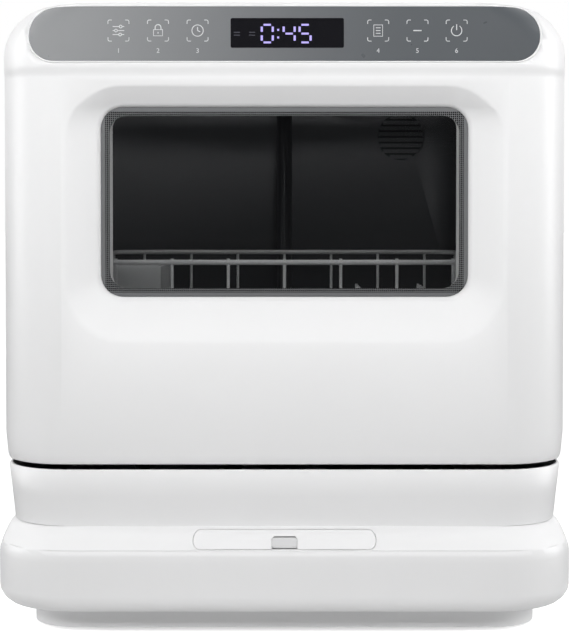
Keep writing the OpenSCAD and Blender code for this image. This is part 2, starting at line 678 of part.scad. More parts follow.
module door_liner() {
    color("whitesmoke") difference() {
        union() {
            along_y(liner_y - liner_sheet, liner_y) polygon(arch_pts(wall + gap + 0.6, liner_z0));
            // posts that stand against the inside of the door's front
            for (p = [[150, tub_z0 + 25, face_y], [158, panel_z0 + 13, body_y0]])
                both_sides() along_y(p[2] + wall, liner_y - liner_sheet + eps) translate([p[0], p[1]]) circle(r = 4);
            // rim around the inner glass
            along_y(liner_y - liner_sheet - 6, liner_y - liner_sheet + eps)
                polygon(rr_pts(-win_x - 6, win_x + 6, win_z0 - 6, win_z1 + 6, win_r));
        }
        window_pane(liner_y - 30, liner_y + 1, -0.3);
        translate([cup_x, liner_y - 30, cup_z]) cube([cup_w, 40, cup_h]);
    }
    color("whitesmoke") lid_rails();
}
module window_glass() {
    color("black", 0.4) window_pane(glass_y + border_t, pocket_y1, gap);
}
module window_border() {
    color("dimgray") along_y(glass_y, glass_y + border_t) difference() {
        polygon(rr_pts(-win_x + gap, win_x - gap, win_z0 + gap, win_z1 - gap, win_r - gap));
        polygon(rr_pts(-win_x + border_w, win_x - border_w, win_z0 + border_w, win_z1 - border_w, win_r - border_w / 2));
    }
}
module inner_glass() {
    color("lightblue", 0.3) window_pane(liner_y - 6, liner_y - 2, 0);
}
module control_panel() {
    color("dimgray") intersection() {
        along_y(body_y0 - 2, body_y0 + 20) panel_outline();
        panel_layer(0, lens_t);
    }
}
disp_x = 41.3;
disp_h = 21.6;
disp_z = panel_z0 + panel_h / 2 - disp_h / 2 + 1;
board_y = body_y0 + wall + 5;
board_x = panel_x - 37.5;
touch_x = [-120.9, -92.1, -63.3, 68.2, 96.8, 125.3];
module display_module() {
    color("black") translate([-disp_x, body_y0 + wall, disp_z]) cube([2 * disp_x, board_y - body_y0 - wall, disp_h]);
}
module control_board() {
    color("darkgreen") {
        translate([-board_x, board_y, panel_z0 + 4]) cube([2 * board_x, 1.6, panel_h - 10]);
        // touch sensors
        for (x = touch_x) translate([x, body_y0 + wall, panel_z0 + 18]) rotate([-90, 0, 0])
            cylinder(r = 6, h = board_y - body_y0 - wall + 0.5);
    }
}
module latch_hook() {
    color("dimgray") {
        translate([-10, liner_y, slot_z0]) cube([20, 1.5, 9.5]);
        translate([-4, liner_y + 1.5 - eps, hook_z]) cube([8, hook_l - 1.5, 2]);
        translate([-4, liner_y + hook_l - 3.5, hook_z + 2 - eps]) cube([8, 3.5, 2]);
    }
}
module detergent_cup() {
    color("gainsboro") difference() {
        translate([cup_x + gap, liner_y - 16, cup_z + gap]) cube([cup_w - 2 * gap, 16, cup_h - 2 * gap]);
        translate([cup_x + 4, liner_y - 14, cup_z + 4]) cube([cup_w - 34, 20, cup_h - 8]);
        translate([cup_x + cup_w - 26, liner_y - 14, cup_z + 4]) cube([22, 20, cup_h - 8]);
    }
}
lid_w = 32;
module detergent_lid() {
    color("gray") {
        translate([cup_x + 1, liner_y + gap, cup_z - 0.3 + gap]) cube([lid_w, 2, cup_h + 0.6 - 2 * gap]);
        translate([cup_x + lid_w - 4, liner_y + 2.2, cup_z + 10]) cube([3, 2.4, cup_h - 20]);
    }
}
module lid_rails() {
    for (z = [cup_z - 2.3, cup_z + cup_h + 0.3]) translate([cup_x, liner_y, z]) cube([cup_w, 2.6, 2]);
}
module hinge_pins() {
    color("silver") both_sides() {
        for (x = [hinge_x - arm_w / 2 - 1 - 8, hinge_x + arm_w / 2 + 1])
            translate([x, hinge_y - 4, door_z + wall + 0.4]) cube([8, 8.5, 10]);
        translate([hinge_x - arm_w / 2 - 4, hinge_y, hinge_z]) rotate([0, 90, 0])
            cylinder(r = pin_d / 2, h = arm_w + 8);
    }
}

// ---- Dish rack ----
wire_r = wire_d / 2;
nose_up = 12;
wire_sides = 8;
// Rounded rectangular loop of wire
module rail_loop(z) {
    path = plan_ring4(z, rack_x, rack_y0, rack_y1, 18, 18, 5);
    n = len(path);
    function out(i) = let (d = path[(i + 1) % n] - path[(i + n - 1) % n]) [d[1], -d[0], 0] / norm(d);
    pts = [for (i = [0:n - 1]) for (k = [0:wire_sides - 1]) let (a = 360 * k / wire_sides)
        path[i] + out(i) * wire_r * cos(a) + [0, 0, wire_r * sin(a)]];
    faces = [for (i = [0:n - 1]) for (k = [0:wire_sides - 1]) let (
        a = i * wire_sides + k, b = i * wire_sides + (k + 1) % wire_sides,
        c = ((i + 1) % n) * wire_sides + k, d = ((i + 1) % n) * wire_sides + (k + 1) % wire_sides)
        each [[a, b, c], [b, d, c]]];
    polyhedron(points = pts, faces = faces, convexity = 6);
}
module wire(p, q, r) {
    d = q - p;
    translate(p) rotate([0, atan2(norm([d[0], d[1]]), d[2]), atan2(d[1], d[0])])
        rotate([0, 0, 22.5]) cylinder(r = r, h = norm(d), $fn = wire_sides);
}
module rack_frame() {
    color("gray") {
        rail_loop(rack_z1);
        rail_loop(rack_z0 + nose_up);
        // floor wires that turn up at the front
        for (i = [-3:3]) let (x = i * rack_x / 3.6) {
            wire([x, rack_y0 + 14, rack_z0], [x, rack_y1 - 12, rack_z0], wire_r - 0.4);
            wire([x, rack_y0 + 17, rack_z0], [x, rack_y0 + 0.5, rack_z0 + nose_up], wire_r - 0.55);
            wire([x, rack_y1 - 15, rack_z0], [x, rack_y1 - 0.5, rack_z0 + nose_up], wire_r - 0.55);
            wire([x, rack_y0 + 0.2, rack_z0 + nose_up - 1], [x, rack_y0 + 0.2, rack_z1 + 3], wire_r - 0.7);
            wire([x, rack_y1 - 0.2, rack_z0 + nose_up - 1], [x, rack_y1 - 0.2, rack_z1], wire_r - 0.7);
        }
        for (y = [rack_y0 + 30, 0, rack_y1 - 28]) {
            wire([-rack_x, y, rack_z0 + 3], [rack_x, y, rack_z0 + 3], wire_r - 0.3);
            both_sides() wire([rack_x - 0.2, y, rack_z0 + 2], [rack_x - 0.2, y, rack_z1], wire_r - 0.5);
        }
    }
}
module rack_tines() {
    pitch = (rack_y1 - rack_y0 - 70) / (tine_count - 1);
    z = rack_z0 + 2.8;
    x0 = rack_x * 0.42;
    x1 = rack_x * 0.78;
    // each is one wire bent to a U, on the rack's floor
    color("gray") for (k = [0:tine_count - 1]) let (y = rack_y0 + 34 + k * pitch) {
        wire([x0 - 0.9, y, z], [x1 + 0.9, y, z], wire_r - 0.45);
        for (x = [x0, x1]) wire([x, y, z - 0.3], [x, y + 6, rack_z0 + 58], wire_r - 0.7);
    }
}
module rack_glides() {
    color("whitesmoke") both_sides() for (y = [rack_y0 + 80, rack_y1 - 28])
        translate([rack_x + wire_r - 0.4, y - 12, rack_z0 - 0.7]) difference() {
            cube([tub_x - rack_x - wire_r - 1.6, 24, 9]);
            // step over the lip of the rail
            translate([-1, -1, -1]) cube([tub_x - 11 - rack_x - wire_r + 1.8, 26, 4.4]);
            translate([4, 4, 6]) cube([tub_x - rack_x - wire_r - 8, 16, 9]);
        }
}
module cutlery_basket() {
    x0 = -rack_x + 6;
    y0 = rack_y0 + 34;
    z0 = rack_z0 + 5;
    w = 52;
    d = 140;
    h = 76;
    color("gainsboro") translate([x0, y0, z0]) difference() {
        cube([w, d, h]);
        translate([2, 2, 2]) cube([w - 4, d / 2 - 3, h]);
        translate([2, d / 2 + 1, 2]) cube([w - 4, d / 2 - 3, h]);
        for (y = [10:14:d - 12], z = [14:16:h - 20]) translate([-1, y, z]) cube([w + 2, 8, 10]);
    }
}

// ---- Water drawer ----
trough_l = fill_travel + 26;
module filler_drawer() {
    color("white") {
        difference() {
            intersection() {
                along_y(base_y0 - 1, base_y0 + 30) fill_outline();
                difference() {
                    base_outer();
                    base_hollow(wall);
                }
            }
            // finger notch
            notch_cut();
        }
        // trough behind the front
        difference() {
            intersection() {
                translate([-fill_x + 7, base_y0 + 2, fill_z0 + trough_lift]) cube([2 * fill_x - 14, trough_l, fill_h - 2]);
                loft([for (z = base_heights) base_ring(z, wall - 0.6)]);
            }
            translate([-fill_x + 9, base_y0 + shoulder_y + 4, fill_z0 + trough_lift + 2])
                cube([2 * fill_x - 18, trough_l - shoulder_y - 4, fill_h]);
            translate([-20, base_y0 + trough_l - 18, fill_z0 - 1]) cube([40, 12, 5]);
            notch_cut();
        }
    }
}
module notch_cut() {
    along_y(base_y0 - 1, base_y0 + shoulder_y + 1) translate([0, fill_z0 - 1])
        polygon(rr_pts(-notch_x, notch_x, -2, fill_h - 2.4, 2));
}

base_tray();
base_skirt();
rubber_feet();
lower_body();
cabinet_wrap();
rear_panel();
rear_vent();
panel_screws();
water_tank();
filler_channel();
sump();
filter_cup();
wash_pump();
drain_pump();
heater();
riser_pipe();
inlet_valve();
drain_elbow();
power_gland();
power_board();
tub();
tub_collar();
door_gasket();
rack_rails();
door_strike();
hinge_brackets();
blower();
air_duct();
door_shell();
door_liner();
window_glass();
window_border();
inner_glass();
control_panel();
display_module();
control_board();
latch_hook();
detergent_cup();
hinge_pins();
lower_arm();
upper_arm();
rack_frame();
rack_tines();
rack_glides();
cutlery_basket();
filler_drawer();
detergent_lid();
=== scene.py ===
"""Countertop dishwasher: finishes, panel print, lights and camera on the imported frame."""
import logging
import math
from collections.abc import Callable, Iterator
from contextlib import contextmanager
from dataclasses import dataclass, field
from enum import Enum

import bpy
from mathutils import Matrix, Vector


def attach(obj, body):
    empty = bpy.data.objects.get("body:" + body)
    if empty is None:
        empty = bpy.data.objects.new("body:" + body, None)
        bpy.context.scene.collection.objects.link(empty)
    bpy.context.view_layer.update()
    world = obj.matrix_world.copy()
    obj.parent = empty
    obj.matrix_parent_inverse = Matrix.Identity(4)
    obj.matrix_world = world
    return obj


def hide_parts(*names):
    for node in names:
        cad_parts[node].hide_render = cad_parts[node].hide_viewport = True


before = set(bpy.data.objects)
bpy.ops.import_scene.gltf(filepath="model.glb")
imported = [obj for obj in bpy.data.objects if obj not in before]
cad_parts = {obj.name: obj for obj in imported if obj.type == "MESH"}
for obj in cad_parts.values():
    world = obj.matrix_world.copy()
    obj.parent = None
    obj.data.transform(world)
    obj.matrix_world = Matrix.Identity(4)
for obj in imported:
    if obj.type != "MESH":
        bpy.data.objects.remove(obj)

log = logging.getLogger("dishwasher")
MM = 0.001
TOUCH = 1e-5  # lengths closer than this are the same
PANEL_Y, DOOR_Y = -0.200, -0.197
DOOR_HALF_X, DOOR_CORNER_R, DOOR_TOP = 0.212, 0.048, 0.464
WINDOW_X, WINDOW_LOW, WINDOW_HIGH, FRIT_WIDTH = 0.1362, 0.248, 0.389, 0.0065
Colour = tuple[float, float, float]
Point = tuple[float, float, float]
Pair = tuple[float, float]
Obj = bpy.types.Object


class Sheen(Enum):
    """Roughness of a moulded surface."""

    GLOSS = 0.16
    SATIN = 0.36
    MATT = 0.62


# ---------------------------------------------------------------- shader maths
class Val:
    """A shader socket that takes part in Python arithmetic."""

    def __init__(self, graph: "Graph", socket: bpy.types.NodeSocket) -> None:
        """Keep the socket and the graph that it belongs to."""
        self.graph = graph
        self.socket = socket

    def _maths(self, operation: str, *others: "Val | float") -> "Val":
        """Add one Math node.

        Args:
            operation: The Math node's operation.
            others: Further operands.

        Returns:
            The node's result.
        """
        inputs = dict(enumerate((self, *others)))
        return self.graph.node("ShaderNodeMath", {"operation": operation}, inputs)

    def __add__(self, o: "Val | float") -> "Val":
        """Sum."""
        return self._maths("ADD", o)

    __radd__ = __add__

    def __mul__(self, o: "Val | float") -> "Val":
        """Product."""
        return self._maths("MULTIPLY", o)

    __rmul__ = __mul__

    def __sub__(self, o: "Val | float") -> "Val":
        """Difference."""
        return self._maths("SUBTRACT", o)

    def __rsub__(self, o: float) -> "Val":
        """Difference from a number."""
        return (self * -1.0) + o

    def __truediv__(self, o: "Val | float") -> "Val":
        """Quotient."""
        return self._maths("DIVIDE", o)

    def abs(self) -> "Val":
        """Absolute value."""
        return self._maths("ABSOLUTE")

    def sine(self) -> "Val":
        """Sine."""
        return self._maths("SINE")

    def root(self) -> "Val":
        """Square root."""
        return self._maths("SQRT")

    def least(self, o: "Val | float") -> "Val":
        """The smaller of two values."""
        return self._maths("MINIMUM", o)

    def most(self, o: "Val | float") -> "Val":
        """The larger of two values."""
        return self._maths("MAXIMUM", o)

    def above(self, limit: "Val | float") -> "Val":
        """1 where the value is over the limit, otherwise 0."""
        return self._maths("GREATER_THAN", limit)

    def ramp(self, low: float, high: float, start: float = 0.0, end: "Val | float" = 1.0) -> "Val":
        """Smooth step between two values.

        Args:
            low: Where the step begins.
            high: Where it ends.
            start: The result up to low.
            end: The result from high on.

        Returns:
            The stepped value.
        """
        return self.graph.node(
            "ShaderNodeMapRange",
            {"interpolation_type": "SMOOTHSTEP"},
            {"Value": self, "From Min": low, "From Max": high, "To Min": start, "To Max": end},
        )


class Graph:
    """A node tree under construction."""

    def __init__(self, tree: bpy.types.NodeTree) -> None:
        """Keep the tree."""
        self.tree = tree

    def node(self, kind: str, settings: dict, inputs: dict, output: int | str = 0) -> Val:
        """Add a node.

        Args:
            kind: The node's type.
            settings: Attributes, set before the inputs.
            inputs: Values or links by input name or number.
            output: Which output to return.

        Returns:
            The chosen output.
        """
        made = self.tree.nodes.new(kind)
        for key, value in settings.items():
            setattr(made, key, value)
        for key, value in inputs.items():
            self.set(made.inputs[key], value)
        return Val(self, made.outputs[output])

    def set(self, socket: bpy.types.NodeSocket, value: "Val | float | tuple") -> None:
        """Link a socket, or set its value.

        Args:
            socket: The input.
            value: What goes into it.
        """
        if isinstance(value, Val):
            self.tree.links.new(value.socket, socket)
        else:
            socket.default_value = value

    def ray(self, kind: str) -> Val:
        """1 for rays of one kind, otherwise 0."""
        return self.node("ShaderNodeLightPath", {}, {}, f"Is {kind} Ray")


class Shader(Graph):
    """A Principled material under construction."""

    MIX_A, MIX_B, MIX_RESULT = 6, 7, 2  # a Mix node's sockets for colours

    def __init__(self, name: str) -> None:
        """Start a material with a Principled shader.

        Args:
            name: The material's name.
        """
        self.material = bpy.data.materials.new(name)
        self.material.use_nodes = True
        super().__init__(self.material.node_tree)
        self.surface = self.tree.nodes["Principled BSDF"]

    def place(self) -> Val:
        """Object coordinates, in metres."""
        return self.node("ShaderNodeTexCoord", {}, {}, "Object")

    def axes(self) -> tuple[Val, Val, Val]:
        """Object coordinates, split.

        Returns:
            X, Y and Z as separate values.
        """
        split = self.node("ShaderNodeSeparateXYZ", {}, {0: self.place()})
        x, y, z = (Val(self, output) for output in split.socket.node.outputs)
        return x, y, z

    def noise(self, scale: float, stretch: Point = (1, 1, 1), detail: float = 3.0) -> Val:
        """Noise on object coordinates.

        Args:
            scale: Cells per metre.
            stretch: Factor on each axis.
            detail: Octaves.

        Returns:
            The noise value.
        """
        at = self.node("ShaderNodeMapping", {}, {"Vector": self.place(), "Scale": stretch})
        return self.node("ShaderNodeTexNoise", {}, {"Vector": at, "Scale": scale, "Detail": detail})

    def cells(self, scale: float) -> Val:
        """Random grey for each cell of a Voronoi pattern."""
        tint = self.node("ShaderNodeTexVoronoi", {}, {"Vector": self.place(), "Scale": scale}, "Color")
        return self.node("ShaderNodeSeparateXYZ", {}, {0: tint})

    def blend(self, factor: Val, a: "Val | Colour", b: Colour) -> Val:
        """Mix two colours.

        Args:
            factor: Share of the second colour.
            a: The first colour, fixed or running.
            b: The second colour.

        Returns:
            The mixed colour.
        """
        first = a if isinstance(a, Val) else (*a, 1.0)
        return self.node("ShaderNodeMix", {"data_type": "RGBA", "clamp_factor": True},
                         {0: factor, self.MIX_A: first, self.MIX_B: (*b, 1.0)}, self.MIX_RESULT)

    def bump(self, height: Val, strength: float, distance: float) -> None:
        """Feed a height into the surface's normal.

        Args:
            height: The height, from 0 to 1.
            strength: Share of the effect.
            distance: What a height of 1 is, in metres.
        """
        self.feed("Normal", self.node(
            "ShaderNodeBump", {}, {"Height": height, "Strength": strength, "Distance": distance}))

    def roughen(self, pattern: Val, base: float, spread: float) -> None:
        """Let the roughness follow a pattern, from its base over its spread."""
        self.feed("Roughness", pattern * spread + base)

    def feed(self, name: str, value: "Val | float | tuple") -> None:
        """Set or link one socket of the surface."""
        self.set(self.surface.inputs[name], value)


def shade(colour: Colour, factor: float) -> Colour:
    """A colour times a number."""
    r, g, b = (c * factor for c in colour)
    return r, g, b


# -------------------------------------------------------------------- finishes
@dataclass(frozen=True)
class Finish:
    """A surface of the object, made as one material."""

    name: str

    def make(self) -> bpy.types.Material:
        """Build the material."""
        s = Shader(self.name)
        self.paint(s)
        return s.material

    def paint(self, s: Shader) -> None:
        """Feed the material's sockets.

        Args:
            s: The material under construction.
        """
        raise NotImplementedError


@dataclass(frozen=True)
class Moulding(Finish):
    """Moulded or sprayed plastic with a fine grain."""

    colour: Colour
    sheen: Sheen = Sheen.SATIN
    grain: float = 2600.0
    depth: float = 0.00004
    mottle: float = 0.03
    cloud_scale: float = 9.0
    wear_scale: float = 60.0
    wear: float = 0.08
    grain_detail: float = 2.0
    grain_strength: float = 0.35

    def paint(self, s: Shader) -> None:
        """Feed the material's sockets."""
        s.feed("Base Color", s.blend(s.noise(self.cloud_scale), self.colour,
                                     shade(self.colour, 1.0 - self.mottle)))
        s.roughen(s.noise(self.wear_scale), self.sheen.value - self.wear / 2, self.wear)
        s.bump(s.noise(self.grain, detail=self.grain_detail), self.grain_strength, self.depth)


@dataclass(frozen=True)
class BrushedSteel(Finish):
    """Steel sheet with a directional grain."""

    colour: Colour = (0.56, 0.57, 0.58)
    along: Point = (1.0, 40.0, 40.0)
    rough: Pair = (0.24, 0.16)
    scale: float = 38.0
    detail: float = 4.0
    dark: float = 0.82
    strength: float = 0.15
    depth: float = 0.00006

    def paint(self, s: Shader) -> None:
        """Feed the material's sockets."""
        lines = s.noise(self.scale, self.along, self.detail)
        s.feed("Base Color", s.blend(lines, self.colour, shade(self.colour, self.dark)))
        s.feed("Metallic", 1.0)
        s.roughen(lines, *self.rough)
        s.bump(lines, self.strength, self.depth)


@dataclass(frozen=True)
class Galvanised(Finish):
    """Zinc-coated sheet with its spangle."""

    colour: Colour = (0.60, 0.61, 0.62)
    rough: Pair = (0.34, 0.18)
    scale: float = 110.0
    dark: float = 0.80
    metal: float = 0.85

    def paint(self, s: Shader) -> None:
        """Feed the material's sockets."""
        spangle = s.cells(self.scale)
        s.feed("Base Color", s.blend(spangle, self.colour, shade(self.colour, self.dark)))
        s.feed("Metallic", self.metal)
        s.roughen(spangle, *self.rough)


@dataclass(frozen=True)
class Rubber(Finish):
    """Black moulded rubber."""

    colour: Colour = (0.028, 0.028, 0.030)
    rough: Pair = (0.62, 0.15)
    dust_scale: float = 140.0
    dust_pale: float = 1.6
    grain: float = 1800.0
    strength: float = 0.4
    depth: float = 0.00006

    def paint(self, s: Shader) -> None:
        """Feed the material's sockets."""
        dust = s.noise(self.dust_scale)
        s.feed("Base Color", s.blend(dust, self.colour, shade(self.colour, self.dust_pale)))
        s.roughen(dust, *self.rough)
        s.bump(s.noise(self.grain), self.strength, self.depth)


@dataclass(frozen=True)
class PanelLens(Finish):
    """Glossy lens of the control panel, paler towards the left: partly its own tone, partly a painted
    reflection.
    """

    half_width: float = 0.1875
    pale: Colour = (0.315, 0.320, 0.326)
    deep: Colour = (0.090, 0.098, 0.107)
    fade: Pair = (-0.30, 0.80)
    rough: Pair = (0.27, 0.012)
    scale: float = 45.0

    def paint(self, s: Shader) -> None:
        """Feed the material's sockets."""
        x, _, _ = s.axes()
        across = (x / self.half_width) * 0.5 + 0.5
        # painted reflection: the ramp from pale to deep across the lens is partly the lens's own tone
        # and partly a reflection painted into its colour
        s.feed("Base Color", s.blend(across.ramp(*self.fade), self.pale, self.deep))
        s.roughen(s.noise(self.scale), *self.rough)


@dataclass(frozen=True)
class CeramicFrit(Finish):
    """Printed window border, fading into rows of dots on its inner edge."""

    half_x: float = WINDOW_X
    low_z: float = WINDOW_LOW
    high_z: float = WINDOW_HIGH
    width: float = FRIT_WIDTH
    dotted: float = 0.50
    pitch: float = 0.0030
    dot_edge: float = 0.30
    ink: Colour = (0.132, 0.135, 0.139)
    worn: float = 1.35
    wear: float = 0.3
    wear_scale: float = 30.0
    bare: Colour = (0.010, 0.010, 0.011)
    rough: Pair = (0.30, -0.1)

    def paint(self, s: Shader) -> None:
        """Feed the material's sockets."""
        x, _, z = s.axes()
        mid = (self.low_z + self.high_z) / 2
        half_z = (self.high_z - self.low_z) / 2
        inset = (self.half_x - x.abs()).least(half_z - (z - mid).abs())
        turns = 2 * math.pi / self.pitch
        holes = ((x * turns).sine() * (z * turns).sine()).abs().above(self.dot_edge)
        bare = inset.above(self.width * self.dotted) * holes
        ink = s.blend(s.noise(self.wear_scale) * self.wear, self.ink, shade(self.ink, self.worn))
        s.feed("Base Color", s.blend(bare, ink, self.bare))
        s.roughen(bare, *self.rough)


@dataclass(frozen=True)
class SheetGlass(Finish):
    """Thin polished glass that lets light straight through."""

    colour: Colour
    cover: float
    film: float = 0.02
    scale: float = 14.0
    rough: Pair = (0.02, 0.02)

    def paint(self, s: Shader) -> None:
        """Feed the material's sockets."""
        smear = s.noise(self.scale)
        s.feed("Base Color", (*self.colour, 1.0))
        s.feed("Alpha", smear * self.film + self.cover)
        s.roughen(smear, *self.rough)


@dataclass(frozen=True)
class LitDigits(Finish):
    """Light-emitting segments behind the panel."""

    colour: Colour
    strength: float
    unlit: Colour = (0.05, 0.05, 0.08)
    dimmer: float = 0.8
    uneven: float = 0.25
    scale: float = 300.0

    def paint(self, s: Shader) -> None:
        """Feed the material's sockets."""
        dips = s.noise(self.scale) * self.uneven
        s.feed("Base Color", (*self.unlit, 1.0))
        s.feed("Emission Color", s.blend(dips, self.colour, shade(self.colour, self.dimmer)))
        s.feed("Emission Strength", self.strength)


@dataclass(frozen=True)
class BoardLacquer(Finish):
    """Green circuit board with paler tracks."""

    lacquer: Colour = (0.02, 0.13, 0.05)
    track: Colour = (0.10, 0.32, 0.12)
    upright: float = 1500.0
    slanted: float = 700.0
    sparse: float = 0.75
    rough: Pair = (0.35, 0.1)

    def paint(self, s: Shader) -> None:
        """Feed the material's sockets."""
        x, y, z = s.axes()
        tracks = ((z * self.upright).sine() * ((x + y) * self.slanted).sine()).above(self.sparse)
        s.feed("Base Color", s.blend(tracks, self.lacquer, self.track))
        s.roughen(tracks, *self.rough)


FINISHES: tuple[tuple[Finish, tuple[str, ...]], ...] = (
    (Moulding("casing_white", (0.80, 0.80, 0.805)),
     ("base_tray", "lower_body", "door_shell", "filler_drawer")),
    (Moulding("cabinet_white", (0.79, 0.79, 0.795), Sheen.SATIN, 900.0, 0.00006), ("cabinet_wrap",)),
    (Moulding("skirt_grey", (0.80, 0.80, 0.805), Sheen.MATT), ("base_skirt",)),
    (Rubber("rubber_black"), ("rubber_feet", "door_gasket")),
    (Galvanised("galvanised"), ("rear_panel", "hinge_brackets", "hinge_pins")),
    (Moulding("vent_grey", (0.30, 0.31, 0.32), Sheen.MATT), ("rear_vent",)),
    (BrushedSteel("screw_steel"), ("panel_screws",)),
    (Moulding("tank_clear", (0.62, 0.68, 0.72), Sheen.GLOSS), ("water_tank",)),
    (Moulding("liner_white", (0.70, 0.71, 0.72)),
     ("tub_collar", "door_liner", "filler_channel", "detergent_cup", "rack_glides", "cutlery_basket",
      "inlet_valve")),
    (Moulding("dark_plastic", (0.035, 0.035, 0.038), Sheen.MATT, mottle=0.3),
     ("sump", "wash_pump", "drain_pump", "drain_elbow", "power_gland", "blower", "air_duct",
      "door_strike", "latch_hook")),
    # painted shade: the tub's steel is made far darker than the screws' steel, to stand for the shade
    # inside the closed tub
    (BrushedSteel("tub_steel", (0.15, 0.153, 0.157), rough=(0.36, 0.16)),
     ("tub", "riser_pipe", "filter_cup", "rack_rails", "heater")),
    (Moulding("arm_grey", (0.22, 0.23, 0.25)), ("lower_arm", "upper_arm", "detergent_lid")),
    (Moulding("wire_grey", (0.74, 0.75, 0.76), Sheen.SATIN, 500.0, 0.0001),
     ("rack_frame", "rack_tines")),
    (SheetGlass("smoked_glass", (0.004, 0.004, 0.005), 0.22), ("window_glass",)),
    (SheetGlass("clear_glass", (0.02, 0.022, 0.022), 0.08), ("inner_glass",)),
    (CeramicFrit("frit_grey"), ("window_border",)),
    (PanelLens("panel_grey"), ("control_panel",)),
    (Moulding("display_black", (0.006, 0.006, 0.008), Sheen.GLOSS), ("display_module",)),
    (BoardLacquer("board_green"), ("control_board", "power_board")),
)
FINISH_OF = {finish.name: finish for finish, _ in FINISHES}
SLOT_OF = {node: finish.name for finish, nodes in FINISHES for node in nodes}
BODY_OF = {node: body for body, nodes in {
    "door": ("door_shell", "door_liner", "window_glass", "window_border", "inner_glass",
             "control_panel", "display_module", "control_board", "latch_hook", "detergent_cup",
             "hinge_pins"),
    "lower_spray": ("lower_arm",),
    "upper_spray": ("upper_arm",),
    "rack": ("rack_frame", "rack_tines", "rack_glides", "cutlery_basket"),
    "water_drawer": ("filler_drawer",),
    "soap_lid": ("detergent_lid",),
}.items() for node in nodes}


# -------------------------------------------------------------------- modelling
def active(obj: Obj) -> None:
    """Make one object the only selected and active one.

    Args:
        obj: The object.
    """
    bpy.ops.object.select_all(action="DESELECT")
    obj.select_set(True)
    bpy.context.view_layer.objects.active = obj


@contextmanager
def editing(obj: Obj) -> Iterator[None]:
    """Hold one object in edit mode.

    Args:
        obj: The object.
    """
    active(obj)
    bpy.ops.object.mode_set(mode="EDIT")
    yield
    bpy.ops.object.mode_set(mode="OBJECT")


def settle(obj: Obj) -> None:
    """Apply the object's place, turn and size to its mesh."""
    active(obj)
    bpy.ops.object.transform_apply(location=True, rotation=True, scale=True)


def cut(obj: Obj, normal: Point, places: Pair) -> None:
    """Add edges where level planes cross a mesh.

    Args:
        obj: The mesh.
        normal: The axis that the planes stand across.
        places: Where they cross it.
    """
    for place in places:
        with editing(obj):
            bpy.ops.mesh.select_all(action="SELECT")
            bpy.ops.mesh.bisect(plane_co=[place * n for n in normal], plane_no=normal)


def dress(obj: Obj, material: bpy.types.Material) -> None:
    """Give an object one material and no other."""
    obj.data.materials.clear()
    obj.data.materials.append(material)


def block(name: str, low: Point, high: Point) -> Obj:
    """Make a box.

    Args:
        name: Its name.
        low: Its lowest corner.
        high: Its highest corner.

    Returns:
        The box.
    """
    bpy.ops.mesh.primitive_cube_add(size=1)
    obj = bpy.context.view_layer.objects.active
    obj.name = name
    obj.location = [(a + b) / 2 for a, b in zip(low, high)]
    obj.scale = [b - a for a, b in zip(low, high)]
    settle(obj)
    return obj


def stroke(name: str, points: list[Point], width: float, closed: bool = False) -> Obj:
    """Draw a printed line as a thin rounded bar.

    Args:
        name: The line's name.
        points: Its points in the row frame, in metres.
        width: Its width in metres.
        closed: Whether the last point joins the first.

    Returns:
        The line as a mesh object.
    """
    curve = bpy.data.curves.new(name, "CURVE")
    curve.dimensions = "3D"
    curve.bevel_depth = width / 2
    curve.bevel_resolution = 1
    curve.use_fill_caps = True
    spline = curve.splines.new("POLY")
    spline.points.add(len(points) - 1)
    for spot, at in zip(spline.points, points):
        spot.co = (*at, 1.0)
    spline.use_cyclic_u = closed
    obj = bpy.data.objects.new(name, curve)
    bpy.context.collection.objects.link(obj)
    active(obj)
    bpy.ops.object.convert(target="MESH")
    return bpy.context.view_layer.objects.active


def arc(r: float, start: float, end: float, cx: float = 0.0, cz: float = 0.0,
        n: int = 20) -> list[Pair]:
    """Points of an arc.

    Args:
        r: Its radius.
        start: Where it starts, in degrees.
        end: Where it ends.
        cx: Its centre.
        cz: Its centre's height.
        n: How many steps it has.

    Returns:
        The points.
    """
    steps = [math.radians(start + (end - start) * i / n) for i in range(n + 1)]
    return [(cx + r * math.cos(a), cz + r * math.sin(a)) for a in steps]


def join(name: str, parts: list[Obj]) -> Obj:
    """Join mesh objects into one.

    Args:
        name: The joined object's name.
        parts: The objects.

    Returns:
        The joined object.
    """
    bpy.ops.object.select_all(action="DESELECT")
    for part in parts:
        part.select_set(True)
    bpy.context.view_layer.objects.active = parts[0]
    bpy.ops.object.join()
    parts[0].name = name
    return parts[0]


def flatten_to(obj: Obj, y: float, thickness: float) -> None:
    """Squeeze a print so that it lies between y − thickness and y.

    Args:
        obj: The print.
        y: The surface that it lies on.
        thickness: How far it stands proud.
    """
    depth = [v.co.y for v in obj.data.vertices]
    low, high = min(depth), max(depth)
    for v in obj.data.vertices:
        v.co.y = y - thickness + (v.co.y - low) / (high - low) * thickness


